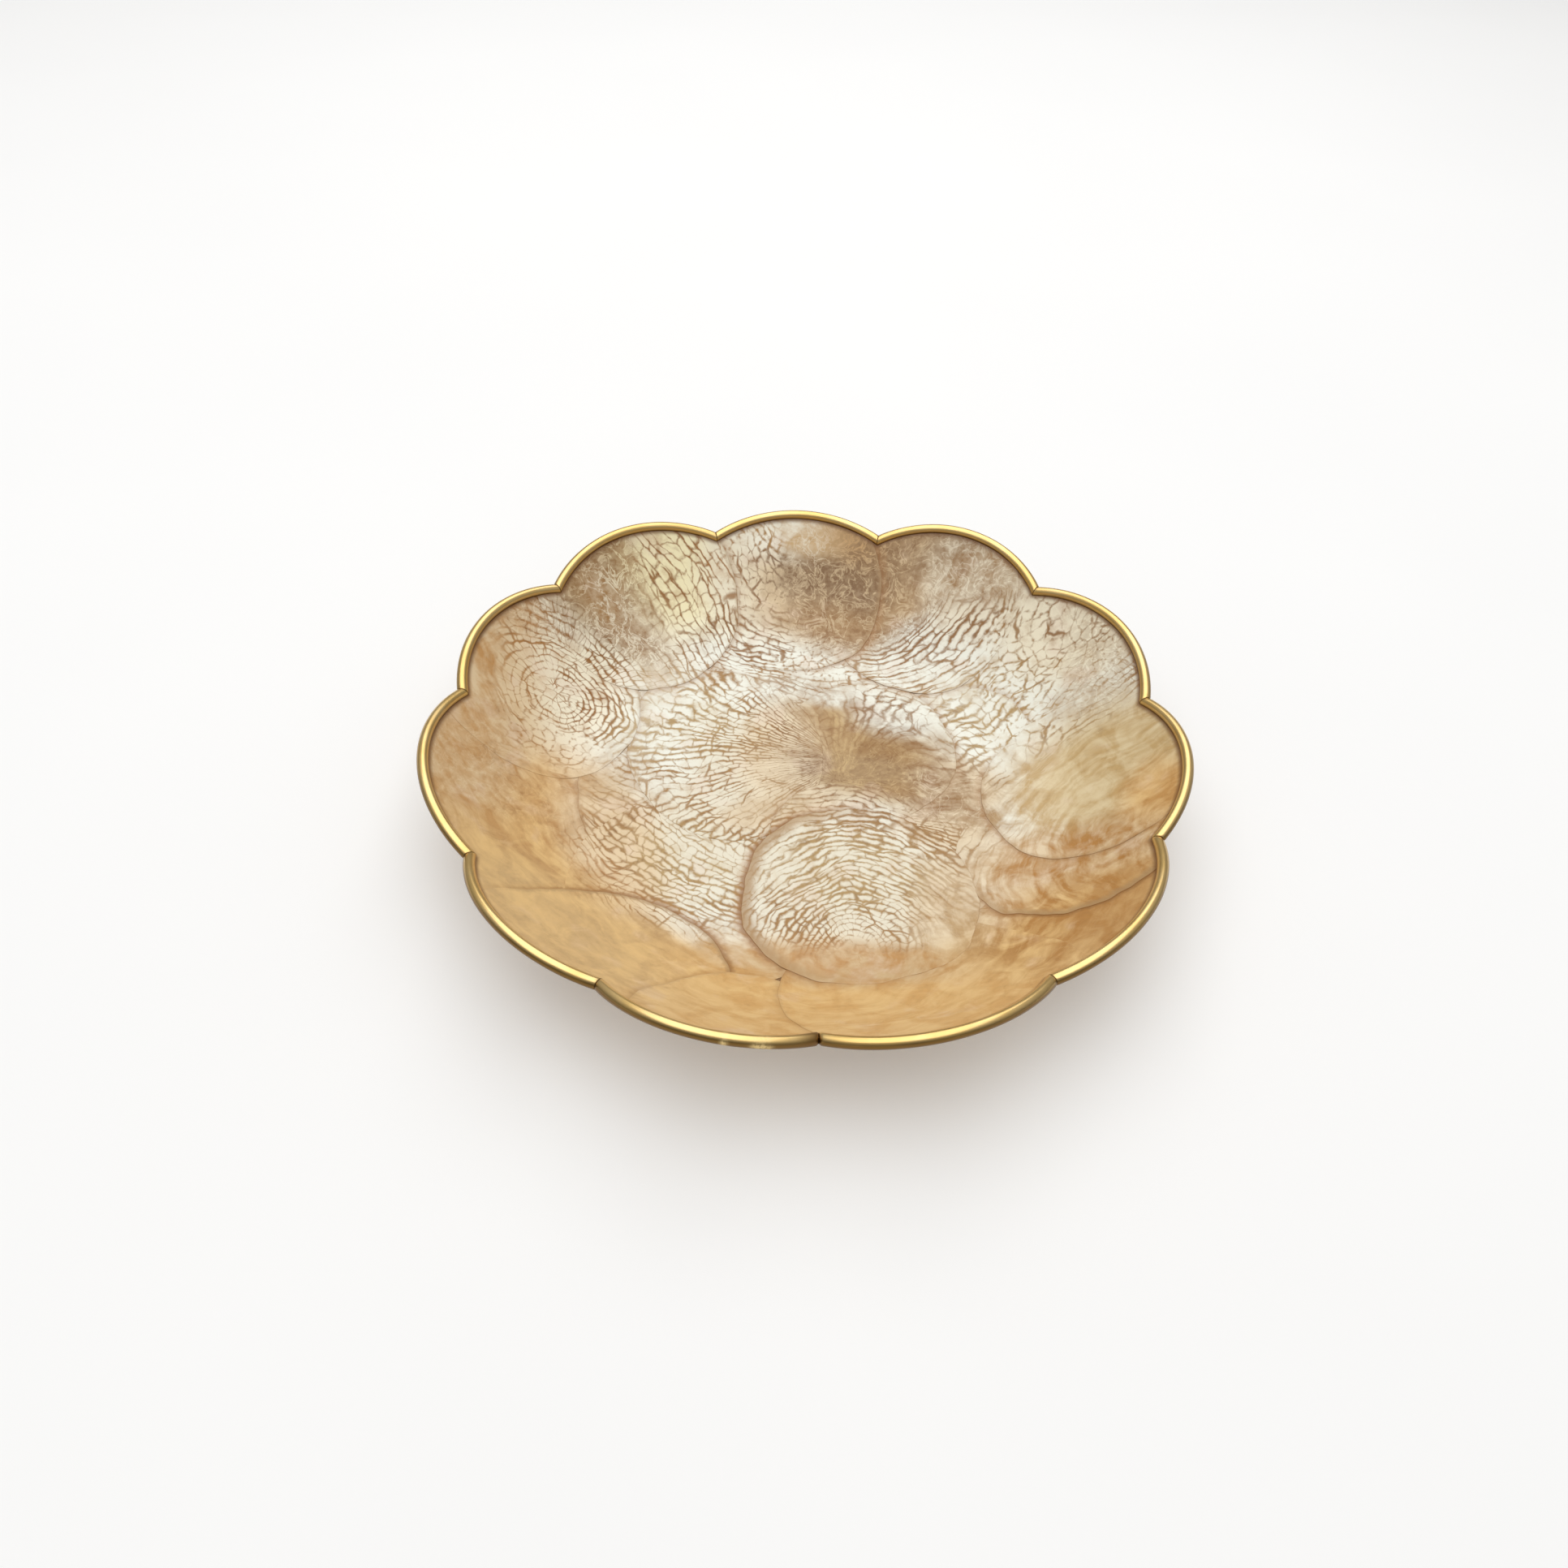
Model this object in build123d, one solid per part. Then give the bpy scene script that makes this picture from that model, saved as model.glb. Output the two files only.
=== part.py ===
"""Scalloped brass bowl lined with windowpane-oyster (capiz) shell.

Millimetres, +Z up. The origin is on the table, under the middle of the bowl.
A brass dish is pressed with eleven lobes round a flat floor. Thin shell discs lie
in a bed of tinted resin over its whole inside, each one partly over its neighbours.
A round brass bead, slotted along its inner side, covers the edge: one length per
lobe, mitred and soldered where two lobes meet. A low ring under the floor is the foot.
The lobes are hand-formed, so no two are quite alike.
"""
from build123d import *
import math
import os

# Layers, measured straight down, from the shell's face to the table
SHELL_THICKNESS = 0.5
RESIN_THICKNESS = 0.4
BRASS_THICKNESS = 1.4
FOOT_HEIGHT = 4.0

# The dish
BOWL_DEPTH = 40.0  # from the bead's centreline on a crest down to the floor
FLOOR_RADIUS = 76.0
FLOOR_BLEND = 30.0  # how far the wall's foot runs on level with the floor
WALL_BLEND = 33.0  # how far the wall's top runs straight before it bends
WALL_ANGLE = 43.0  # slope of the wall at the rim, in degrees

# The rim: the bead dips where it comes in to a cusp
CREST_RADIUS = 150.3  # where the bead is at its full height
RIM_SLOPE = 0.91  # height lost for each millimetre inside that radius
BEAD_RADIUS = 2.25
BEAD_OVERRUN = 3.0  # degrees cut off again at each mitre

# Each lobe: azimuth of the cusp where it starts, radius there, radius of its crest
LOBES = [
    (13, 143.5, 151.5),
    (46, 143.5, 151.5),
    (79, 141.0, 147.5),
    (111, 141.5, 151.0),
    (145, 143.5, 150.5),
    (176, 143.5, 151.0),
    (212, 142.0, 149.5),
    (243, 142.5, 150.5),
    (274, 142.0, 151.0),
    (308, 143.5, 149.5),
    (342, 141.5, 150.0),
]

# The foot
FOOT_RADIUS = 73.0
FOOT_WALL = 3.0
FOOT_EDGE = 0.6

# The shell discs seen from above, topmost first: x, y, half width, half height, turn
SHELL_DISCS = {
    "shell_floor_front": (24, -55, 47, 46, 0),
    "shell_wall_11": (118, 5, 43, 43, 0),
    "shell_wall_04": (-86, 101, 48, 48, 0),
    "shell_wall_03": (-12, 117, 42, 41, 0),
    "shell_wall_02": (50, 108, 42, 42, 0),
    "shell_wall_05": (-121, 36, 46, 47, 0),
    "shell_wall_09": (48, -108, 53, 46, 0),
    "shell_wall_08": (-16, -136, 38, 37, 0),
    "shell_wall_07": (-68, -112, 48, 47, 0),
    "shell_floor_fan": (18, -24, 31, 30, 0),
    "shell_floor_left": (-36, 21, 42, 53, 20),
    "shell_floor_centre": (26, 28, 39, 42, 0),
    "shell_floor_front_left": (-36, -56, 54, 52, 0),
    "shell_floor_far_left": (-46, 3, 46, 64, 0),
    "shell_wall_10": (106, -28, 42, 42, 0),
    "shell_floor_right": (62, 20, 40, 50, 0),
    "shell_wall_10_lower": (100, -86, 50, 50, 0),
    "shell_wall_06": (-112, -40, 53, 62, 0),
    "shell_wall_01": (104, 72, 50, 55, 0),
    "shell_floor_back": (2, 72, 54, 42, 0),
}
JOINT_GAP = 0.3  # the resin line round each disc

# Worked out from the above
LINING_THICKNESS = SHELL_THICKNESS + RESIN_THICKNESS
WALL_THICKNESS = LINING_THICKNESS + BRASS_THICKNESS
FLOOR_Z = FOOT_HEIGHT + WALL_THICKNESS
CREST_Z = FLOOR_Z + BOWL_DEPTH
OVERALL_Z = CREST_Z + 10
REACH = 400.0  # longer than the bowl is wide


def around(azimuth, radius, z):
    """The point at this azimuth, radius and height."""
    angle = math.radians(azimuth)
    return Vector(radius * math.cos(angle), radius * math.sin(angle), z)


def rim_point(azimuth, radius):
    """A point of the bead's centreline."""
    return around(azimuth, radius, CREST_Z + RIM_SLOPE * (radius - CREST_RADIUS))


def lobe_span(lobe):
    """The azimuths where a lobe starts and ends."""
    start = LOBES[lobe][0]
    end = LOBES[(lobe + 1) % len(LOBES)][0]
    return start, end if end > start else end + 360


def rim_arc(lobe):
    """The bead's centreline over one lobe: cusp, crest, cusp."""
    start, end = lobe_span(lobe)
    crest = rim_point((start + end) / 2, LOBES[lobe][2])
    next_cusp = LOBES[(lobe + 1) % len(LOBES)][1]
    return Edge.make_three_point_arc(
        rim_point(start, LOBES[lobe][1]), crest, rim_point(end, next_cusp)
    )


def level_arc(lobe, radius, z):
    """A level arc about the bowl's axis, over one lobe."""
    start, end = lobe_span(lobe)
    middle = around((start + end) / 2, radius, z)
    return Edge.make_three_point_arc(around(start, radius, z), middle, around(end, radius, z))


def four_poles(arc):
    """The four poles of the cubic curve that follows an arc."""
    handle = 4 / 3 * math.tan(arc.length / arc.radius / 4) * arc.radius
    return [arc @ 0, arc @ 0 + (arc % 0) * handle, arc @ 1 - (arc % 1) * handle, arc @ 1]


def down_the_wall(point):
    """From the rim, the pole that sets the wall's slope there."""
    outward = Vector(point.X, point.Y, 0).normalized()
    angle = math.radians(WALL_ANGLE)
    step = outward * math.cos(angle) + Vector(0, 0, math.sin(angle))
    return point - step * WALL_BLEND


def wall_poles(lobe, depth):
    """Poles of one lobe's wall, this far below the shell's face: floor row to rim row."""
    lift = Vector(0, 0, WALL_THICKNESS / 2)
    rim = [pole + lift for pole in four_poles(rim_arc(lobe))]
    rows = [
        four_poles(level_arc(lobe, FLOOR_RADIUS, FLOOR_Z)),
        four_poles(level_arc(lobe, FLOOR_RADIUS + FLOOR_BLEND, FLOOR_Z)),
        [down_the_wall(pole) for pole in rim],
        rim,
    ]
    return [[pole - Vector(0, 0, depth) for pole in row] for row in rows]


def lobed_layer(top, bottom):
    """The solid between two copies of the bowl's face, these depths below it."""
    faces = []
    for depth in (top, bottom):
        floor_edges = []
        for lobe in range(len(LOBES)):
            poles = wall_poles(lobe, depth)
            faces.append(Face.make_bezier_surface(poles))
            floor_edges.append(Edge.make_bezier(*poles[0]))
        faces.append(Face(Wire(floor_edges)))
    for lobe in range(len(LOBES)):
        upper = wall_poles(lobe, top)[-1]
        lower = wall_poles(lobe, bottom)[-1]
        faces.append(Face.make_bezier_surface([upper, lower]))
    return Solid(Shell(faces))


def bowl_body():
    """The pressed brass dish."""
    return lobed_layer(LINING_THICKNESS, WALL_THICKNESS)


def resin_bed():
    """The tinted resin that holds the shell discs to the brass."""
    return lobed_layer(SHELL_THICKNESS, LINING_THICKNESS)


def foot_ring():
    """The low ring soldered under the floor, with its lower edges eased."""
    ring = Cylinder(FOOT_RADIUS, FOOT_HEIGHT) - Cylinder(FOOT_RADIUS - FOOT_WALL, FOOT_HEIGHT)
    ring = Pos(0, 0, FOOT_HEIGHT / 2) * ring
    lower_edges = ring.edges().group_by(Axis.Z)[0]
    return fillet(lower_edges, FOOT_EDGE)


def lobe_wedge(lobe):
    """All the space above one lobe's sector, to cut the mitres with."""
    start, end = lobe_span(lobe)
    sector = Polyline(
        Vector(0, 0, 0), around(start, REACH, 0), around(end, REACH, 0), close=True
    )
    return extrude(make_face(sector), OVERALL_Z)


def rim_segment(lobe):
    """One lobe's length of bead, mitred at both ends and slotted for the bowl's edge."""
    arc = rim_arc(lobe)
    axis = Axis(arc.arc_center, arc.normal())
    section = Plane(origin=arc @ 0, z_dir=arc % 0) * Circle(BEAD_RADIUS)
    sweep_angle = math.degrees(arc.length / arc.radius) + 2 * BEAD_OVERRUN
    bead = revolve(section.rotate(axis, -BEAD_OVERRUN), axis, sweep_angle)
    edge_in_slot = extrude(
        Face.make_bezier_surface(wall_poles(lobe, 0)), WALL_THICKNESS, dir=(0, 0, -1)
    )
    return bead & lobe_wedge(lobe) - edge_in_slot


def disc_outline(x, y, half_width, half_height, turn):
    """A shell disc seen from above."""
    return Pos(x, y) * Rot(0, 0, turn) * Ellipse(half_width, half_height)


def shell_pieces():
    """The visible part of every shell disc, cut from the shell layer."""
    layer = lobed_layer(0, SHELL_THICKNESS)
    pieces = {}
    covered = None
    for name, (x, y, half_width, half_height, turn) in SHELL_DISCS.items():
        outline = disc_outline(x, y, half_width, half_height, turn)
        visible = outline if covered is None else outline - covered
        pieces[name] = largest_solid(layer & extrude(visible, OVERALL_Z))
        with_gap = disc_outline(x, y, half_width + JOINT_GAP, half_height + JOINT_GAP, turn)
        covered = with_gap if covered is None else covered + with_gap
    return pieces


def largest_solid(shape):
    """The biggest solid of a shape, leaving out slivers."""
    return max(shape.solids(), key=lambda solid: solid.volume)


def main():
    """Write one STEP file for each piece."""
    os.makedirs("parts", exist_ok=True)
    nodes = {"bowl_body": bowl_body(), "foot_ring": foot_ring(), "resin_bed": resin_bed()}
    for lobe in range(len(LOBES)):
        nodes[f"rim_segment_{lobe + 1:02d}"] = rim_segment(lobe)
    nodes.update(shell_pieces())
    for name, shape in nodes.items():
        export_step(shape, f"parts/{name}.step")
        print(name, len(shape.solids()), round(shape.volume, 1))


main()
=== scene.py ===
"""The looks of the scalloped brass bowl with its shell lining.

Sizes are millimetres in the bowl's own frame, turned into metres where a mesh is made.
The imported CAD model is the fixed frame. Every CAD node is replaced by a finer piece in
the same place: whole shell discs that really lie over one another, the resin under them,
the brass dish, its foot, and the bead round the rim.
"""
import bpy
import math
import numpy as np
from mathutils import Matrix, Vector


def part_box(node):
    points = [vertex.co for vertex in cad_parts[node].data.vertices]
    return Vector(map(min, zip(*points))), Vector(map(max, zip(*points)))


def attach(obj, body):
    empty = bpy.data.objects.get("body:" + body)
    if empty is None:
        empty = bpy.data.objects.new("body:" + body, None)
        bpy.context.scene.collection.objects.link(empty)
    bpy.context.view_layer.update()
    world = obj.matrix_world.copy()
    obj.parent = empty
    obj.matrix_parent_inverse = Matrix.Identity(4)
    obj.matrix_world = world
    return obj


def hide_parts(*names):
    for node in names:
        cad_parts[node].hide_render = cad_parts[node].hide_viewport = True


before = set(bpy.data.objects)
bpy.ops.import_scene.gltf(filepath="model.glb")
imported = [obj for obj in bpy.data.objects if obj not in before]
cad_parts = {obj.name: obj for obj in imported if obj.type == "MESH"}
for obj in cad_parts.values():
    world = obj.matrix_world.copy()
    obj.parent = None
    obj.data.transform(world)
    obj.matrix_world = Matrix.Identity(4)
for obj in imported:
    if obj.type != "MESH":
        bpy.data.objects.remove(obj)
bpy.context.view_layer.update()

MM = 0.001

# ---------------------------------------------------------------- the bowl's shape, as in the CAD
SHELL_THICKNESS = 0.5
RESIN_THICKNESS = 0.4
BRASS_THICKNESS = 1.4
BOWL_DEPTH = 40.0
FLOOR_RADIUS = 76.0
FLOOR_BLEND = 30.0
WALL_BLEND = 33.0
WALL_ANGLE = math.radians(43.0)
CREST_RADIUS = 150.3
RIM_SLOPE = 0.91
BEAD_RADIUS = 2.23
FOOT_RADIUS = 73.0
FOOT_WALL = 3.0
FOOT_EDGE = 0.6
LINING = SHELL_THICKNESS + RESIN_THICKNESS
WALL_THICKNESS = LINING + BRASS_THICKNESS
FOOT_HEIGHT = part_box("foot_ring")[1].z / MM
FLOOR_Z = FOOT_HEIGHT + WALL_THICKNESS
CREST_Z = FLOOR_Z + BOWL_DEPTH

# Each lobe: azimuth of the cusp where it starts, radius there, radius of its crest
LOBES = [
    (13, 143.5, 151.5), (46, 143.5, 151.5), (79, 141.0, 147.5), (111, 141.5, 151.0),
    (145, 143.5, 150.5), (176, 143.5, 151.0), (212, 142.0, 149.5), (243, 142.5, 150.5),
    (274, 142.0, 151.0), (308, 143.5, 149.5), (342, 141.5, 150.0),
]
LOBE_COUNT = len(LOBES)
TYPICAL_RIM = 146.0  # the rim's plan radius, near enough to start a search from
SEARCH_STEPS = 7

# The bead's butt joints that stay open to the eye, by the lobe that starts there: how much
# thinner the bead is at the joint
OPEN_JOINTS = {0: 0.21, 8: 0.48, 10: 0.27}
DRESSED_JOINT = 0.072
JOINT_EASE = 0.55  # how far along the bead a joint's rounding is felt
# The lobe that ends at the front joint, and where it is lighter beside that joint: distance from it, half
# length
MARKED_LOBE = 7
LIGHT_SPOTS = [(20.0, 3.6), (32.0, 1.2)]
PAINTED_END_SHADE = 0.9  # how much painted shade darkens the bead's end at that joint
PAINTED_END_SHADE_RUN = 7.0  # how far that painted shade runs back from it
BEAD_OUTER_SHADE = 0.35  # how much more painted shade the bead's outer side gets than its inner side
BEAD_SIDES = 40
BEAD_RINGS = 96
BEAD_END_SHARES = [0.0, 0.0035, 0.009, 0.018]  # closer rings where the end is rounded
BEAD_END = 0.03
BEAD_RIPPLES = [(9, 0.006), (23, 0.004)]  # unevenness along a lobe: how often, how much
MITRE_STEPS = 6

# ---------------------------------------------------------------- the shell discs
# Topmost first: x, y, half width, half height, turn | centre of its growth, whether its
# cells run in rings round that or in rays from it, cell length and row height |
# waviness of its outline, how far in its edge is browned, how strongly, and toward where
DISCS = {
    "shell_floor_front": (24, -55, 47, 46, 0, 24, -84, "ring", 5.4, 2.6, 0.030, 7.0, 0.95, 175),
    "shell_wall_11": (118, 5, 43, 43, 0, 150, -45, "ring", 13.0, 3.4, 0.022, 2.2, 0.45, 225),
    "shell_wall_04": (-86, 101, 48, 48, 0, -112, 40, "ring", 5.0, 4.0, 0.018, 1.8, 0.40, -20),
    "shell_wall_03": (-12, 117, 42, 41, 0, -8, 170, "ring", 5.6, 2.8, 0.020, 2.4, 0.65, -10),
    "shell_wall_02": (50, 108, 42, 42, 0, 20, 138, "ring", 8.0, 2.8, 0.018, 2.0, 0.40, -130),
    "shell_wall_05": (-121, 36, 46, 47, 0, -112, 36, "ring", 6.0, 3.1, 0.016, 1.8, 0.25, 20),
    "shell_wall_09": (48, -108, 53, 46, 0, 8, -62, "ring", 12.0, 3.6, 0.020, 1.6, 0.25, 180),
    "shell_wall_08": (-16, -136, 38, 37, 0, 0, -60, "ring", 11.0, 3.6, 0.030, 1.8, 0.30, 165),
    "shell_wall_07": (-68, -112, 48, 47, 0, 15, 0, "ring", 12.0, 3.6, 0.022, 2.4, 0.85, 60),
    "shell_floor_fan": (18, -24, 31, 30, 0, 18, -62, "ring", 5.2, 2.6, 0.030, 1.6, 0.30, 200),
    "shell_floor_left": (-36, 21, 42, 53, 20, 15, 20, "ray", 6.4, 2.7, 0.020, 1.6, 0.30, 150),
    "shell_floor_centre": (26, 28, 39, 42, 0, 14, 8, "ray", 5.6, 2.9, 0.026, 1.6, 0.30, 30),
    "shell_floor_front_left": (-36, -56, 54, 52, 0, 20, 85, "ring", 5.6, 2.8, 0.024, 1.6, 0.30, 60),
    "shell_floor_far_left": (-46, 6, 50, 66, 0, 0, 110, "ring", 5.2, 3.3, 0.022, 1.6, 0.40, 160),
    "shell_wall_10": (106, -28, 42, 42, 0, 160, -50, "ring", 10.0, 3.6, 0.060, 4.5, 0.90, -75),
    "shell_floor_right": (62, 20, 40, 50, 0, 20, -10, "ray", 5.6, 2.8, 0.022, 1.6, 0.30, 30),
    "shell_wall_10_lower": (100, -86, 50, 50, 0, 30, -30, "ring", 10.0, 3.6, 0.030, 1.6, 0.30, 200),
    "shell_wall_06": (-112, -40, 53, 62, 0, 0, 60, "ring", 11.0, 3.6, 0.022, 1.6, 0.30, 0),
    "shell_wall_01": (104, 72, 50, 55, 0, 150, 20, "ring", 4.6, 3.2, 0.020, 1.6, 0.40, 200),
    "shell_floor_back": (2, 72, 54, 42, 0, 0, 150, "ring", 5.2, 3.2, 0.026, 1.6, 0.30, -90),
}
DISC_THICKNESS = 0.17
BED_SWELL = 0.12  # how far the lowest discs stand proud of the resin
DISC_SPOKES = 224
FACE_RINGS = 44
UNDERSIDE_RINGS = 13
EDGE_PROFILE = [(0.9, 0.0), (0.5, 0.004), (0.22, 0.02), (0.06, 0.05), (0.0, 0.09)]  # inset, drop
FACE_INSET = 1.2  # where the flat face stops and the turned-down edge begins
UNDERCUT = 0.12
UNDERCUT_DROP = 0.02
RIM_CLEARANCE = 0.25
# How an outline wavers: how often round the disc, share of the disc's waviness
OUTLINE_WAVES = [(3, 0.45), (4, 0.35), (6, 0.3), (9, 0.22), (14, 0.16), (23, 0.10), (37, 0.07)]
DISC_SEED = 11
BEAD_SEED = 111


# ---------------------------------------------------------------- curves and surfaces
def bernstein(t):
    """The four cubic weights at each t."""
    s = 1 - t
    return np.stack([s * s * s, 3 * t * s * s, 3 * t * t * s, t * t * t], -1)


def bernstein_slope(t):
    """How the four cubic weights change with t."""
    s = 1 - t
    return np.stack([-3 * s * s, 3 * s * s - 6 * t * s, 6 * t * s - 3 * t * t, 3 * t * t], -1)


def around(azimuth, radius, z):
    """The point at this azimuth in degrees, radius and height."""
    angle = math.radians(azimuth)
    return np.array([radius * math.cos(angle), radius * math.sin(angle), z])


def rim_point(azimuth, radius):
    """A point of the bead's centreline."""
    return around(azimuth, radius, CREST_Z + RIM_SLOPE * (radius - CREST_RADIUS))


def lobe_span(lobe):
    """The azimuths where a lobe starts and ends."""
    start = LOBES[lobe][0]
    end = LOBES[(lobe + 1) % LOBE_COUNT][0]
    return start, end if end > start else end + 360


class Arc:
    """The circular arc through three points."""

    def __init__(self, start, middle, end):
        a, b = start - end, middle - end
        across = np.cross(a, b)
        self.centre = end + np.cross(a @ a * b - b @ b * a, across) / (2 * across @ across)
        self.radius = np.linalg.norm(start - self.centre)
        self.out = (start - self.centre) / self.radius
        self.normal = -across / np.linalg.norm(across)
        self.side = np.cross(self.normal, self.out)
        last = (end - self.centre) / self.radius
        self.angle = math.atan2(last @ self.side, last @ self.out)
        if self.angle < 0:
            self.side, self.normal, self.angle = -self.side, -self.normal, -self.angle

    def outward(self, angle):
        """The direction from the centre to the arc at this angle."""
        return np.outer(np.cos(angle), self.out) + np.outer(np.sin(angle), self.side)

    def poles(self):
        """The four poles of the cubic curve that follows the arc."""
        handle = 4 / 3 * math.tan(self.angle / 4) * self.radius
        last = self.outward([self.angle])[0]
        start = self.centre + self.radius * self.out
        end = self.centre + self.radius * last
        return [start, start + handle * self.side, end - handle * np.cross(self.normal, last), end]


def rim_arc(lobe):
    """The bead's centreline over one lobe."""
    start, end = lobe_span(lobe)
    crest = rim_point((start + end) / 2, LOBES[lobe][2])
    return Arc(rim_point(start, LOBES[lobe][1]), crest,
               rim_point(end, LOBES[(lobe + 1) % LOBE_COUNT][1]))


def level_arc(lobe, radius):
    """A level arc on the floor, over one lobe."""
    start, end = lobe_span(lobe)
    return Arc(around(start, radius, FLOOR_Z), around((start + end) / 2, radius, FLOOR_Z),
               around(end, radius, FLOOR_Z))


def wall_poles(lobe):
    """Poles of one lobe's wall at the shell's face: floor row to rim row."""
    rim = [pole + [0, 0, WALL_THICKNESS / 2] for pole in rim_arc(lobe).poles()]
    down = []
    for pole in rim:
        outward = np.array([pole[0], pole[1], 0]) / math.hypot(pole[0], pole[1])
        step = outward * math.cos(WALL_ANGLE) + [0, 0, math.sin(WALL_ANGLE)]
        down.append(pole - step * WALL_BLEND)
    floor = level_arc(lobe, FLOOR_RADIUS).poles()
    foot = level_arc(lobe, FLOOR_RADIUS + FLOOR_BLEND).poles()
    return np.array([floor, foot, down, rim])


WALLS = [wall_poles(lobe) for lobe in range(LOBE_COUNT)]
RIM_STEPS = 48
RIM_OUTLINE = np.concatenate([
    bernstein(np.linspace(0, 1, RIM_STEPS, endpoint=False)) @ WALLS[lobe][3][:, :2]
    for lobe in range(LOBE_COUNT)
])


def face_points(plan):
    """The shell's face above these plan points, and its upward unit normals there."""
    plan = np.asarray(plan, float)
    points = np.column_stack([plan, np.full(len(plan), FLOOR_Z)])
    normals = np.tile([0.0, 0.0, 1.0], (len(plan), 1))
    radius = np.hypot(plan[:, 0], plan[:, 1])
    azimuth = np.degrees(np.arctan2(plan[:, 1], plan[:, 0])) % 360
    for lobe, poles in enumerate(WALLS):
        start, end = lobe_span(lobe)
        turned = np.where(azimuth < start - 1e-9, azimuth + 360, azimuth)
        mine = np.flatnonzero((turned <= end) & (radius > FLOOR_RADIUS))
        if not len(mine):
            continue
        target = plan[mine]
        u = (turned[mine] - start) / (end - start)
        v = np.clip((radius[mine] - FLOOR_RADIUS) / (TYPICAL_RIM - FLOOR_RADIUS), 0.02, 1)
        for _ in range(SEARCH_STEPS):
            across, up = bernstein(u), bernstein(v)
            here = np.einsum("na,nb,abk->nk", up, across, poles, optimize=True)
            along_u = np.einsum("na,nb,abk->nk", up, bernstein_slope(u), poles, optimize=True)
            along_v = np.einsum("na,nb,abk->nk", bernstein_slope(v), across, poles, optimize=True)
            miss = target - here[:, :2]
            area = along_u[:, 0] * along_v[:, 1] - along_u[:, 1] * along_v[:, 0]
            area = np.where(np.abs(area) < 1e-6, 1e-6, area)
            u = u + (miss[:, 0] * along_v[:, 1] - miss[:, 1] * along_v[:, 0]) / area
            v = v + (miss[:, 1] * along_u[:, 0] - miss[:, 0] * along_u[:, 1]) / area
            u, v = np.clip(u, -0.05, 1.05), np.clip(v, 0, 1.04)
        points[mine, 2] = here[:, 2]
        normal = np.cross(along_v, along_u)
        normal *= np.where(normal[:, 2:] < 0, -1, 1)
        normals[mine] = normal / np.linalg.norm(normal, axis=1, keepdims=True)
    return points, normals


RIM_ZONE = 12.0  # distances from the rim are told up to this
LEAST_RIM = min(cusp for _, cusp, _ in LOBES)
BATCH = 4000  # points measured at once, to spare memory


def rim_distance(plan):
    """How far each plan point lies inside the rim's outline."""
    side = np.roll(RIM_OUTLINE, -1, axis=0) - RIM_OUTLINE
    length = (side * side).sum(1)
    nearest = np.full(len(plan), RIM_ZONE)
    close = np.flatnonzero(np.hypot(plan[:, 0], plan[:, 1]) > LEAST_RIM - RIM_ZONE)
    for begin in range(0, len(close), BATCH):
        some = close[begin:begin + BATCH]
        away = plan[some, None, :] - RIM_OUTLINE[None]
        share = np.clip((away * side).sum(2) / length, 0, 1)
        gap = np.hypot(*np.moveaxis(away - share[..., None] * side, 2, 0))
        nearest[some] = np.minimum(gap.min(1), RIM_ZONE)
    return nearest


# ---------------------------------------------------------------- how the discs lie on each other
class Disc:
    """One whole shell disc, seen from above."""

    def __init__(self, name, seed):
        (x, y, self.half_width, self.half_height, turn, grow_x, grow_y, self.grain,
         self.cell_length, self.row_height, wave, self.edge_width, self.edge_strength,
         toward) = DISCS[name]
        self.edge_toward = math.radians(toward)
        self.name = name
        self.centre = np.array([x, y], float)
        self.turn = math.radians(turn)
        self.growth = np.array([grow_x, grow_y], float)
        rng = np.random.default_rng(seed)
        self.waves = [(count, wave * share, rng.uniform(0, 2 * math.pi))
                      for count, share in OUTLINE_WAVES]

    def reach(self, angle):
        """The outline's distance from the centre in each direction."""
        own = angle - self.turn
        ellipse = self.half_width * self.half_height / np.hypot(
            self.half_height * np.cos(own), self.half_width * np.sin(own))
        ripple = 1 + sum(size * np.cos(count * angle + phase)
                         for count, size, phase in self.waves)
        return ellipse * ripple

    def inset(self, plan):
        """How far plan points lie inside the outline, negative outside."""
        away = plan - self.centre
        distance = np.hypot(away[..., 0], away[..., 1])
        return self.reach(np.arctan2(away[..., 1], away[..., 0])) - distance

    def edge_line(self, plan):
        """How strongly the edge nearest each plan point is browned: most on one side."""
        away = plan - self.centre
        facing = np.cos(np.arctan2(away[..., 1], away[..., 0]) - self.edge_toward)
        return self.edge_strength * np.clip(0.15 + 1.1 * facing, 0.10, 1)

    def rim_reach(self, angle):
        """The distance from the centre to the rim's outline in each direction."""
        ends = np.roll(RIM_OUTLINE, -1, axis=0)
        start = RIM_OUTLINE - self.centre
        side = ends - RIM_OUTLINE
        ray = np.stack([np.cos(angle), np.sin(angle)], -1)[:, None]
        cross = ray[..., 0] * side[:, 1] - ray[..., 1] * side[:, 0]
        cross = np.where(np.abs(cross) < 1e-9, 1e-9, cross)
        along = (start[:, 0] * side[:, 1] - start[:, 1] * side[:, 0]) / cross
        share = (start[:, 0] * ray[..., 1] - start[:, 1] * ray[..., 0]) / cross
        hit = (share >= 0) & (share <= 1) & (along > 0)
        return np.where(hit, along, 1e9).min(1)


GRID_REACH = 158
GRID_AXIS = np.arange(-GRID_REACH, GRID_REACH + 1.0)
GRID_PLAN = np.stack(np.meshgrid(GRID_AXIS, GRID_AXIS, indexing="ij"), -1)


def spread(grid, reach, join):
    """Each cell joined with its neighbours out to this many cells, along x and then y."""
    for axis in (0, 1):
        shifted = [np.roll(grid, step, axis) for step in range(-reach, reach + 1)]
        grid = join(np.array(shifted), axis=0)
    return grid


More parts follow.
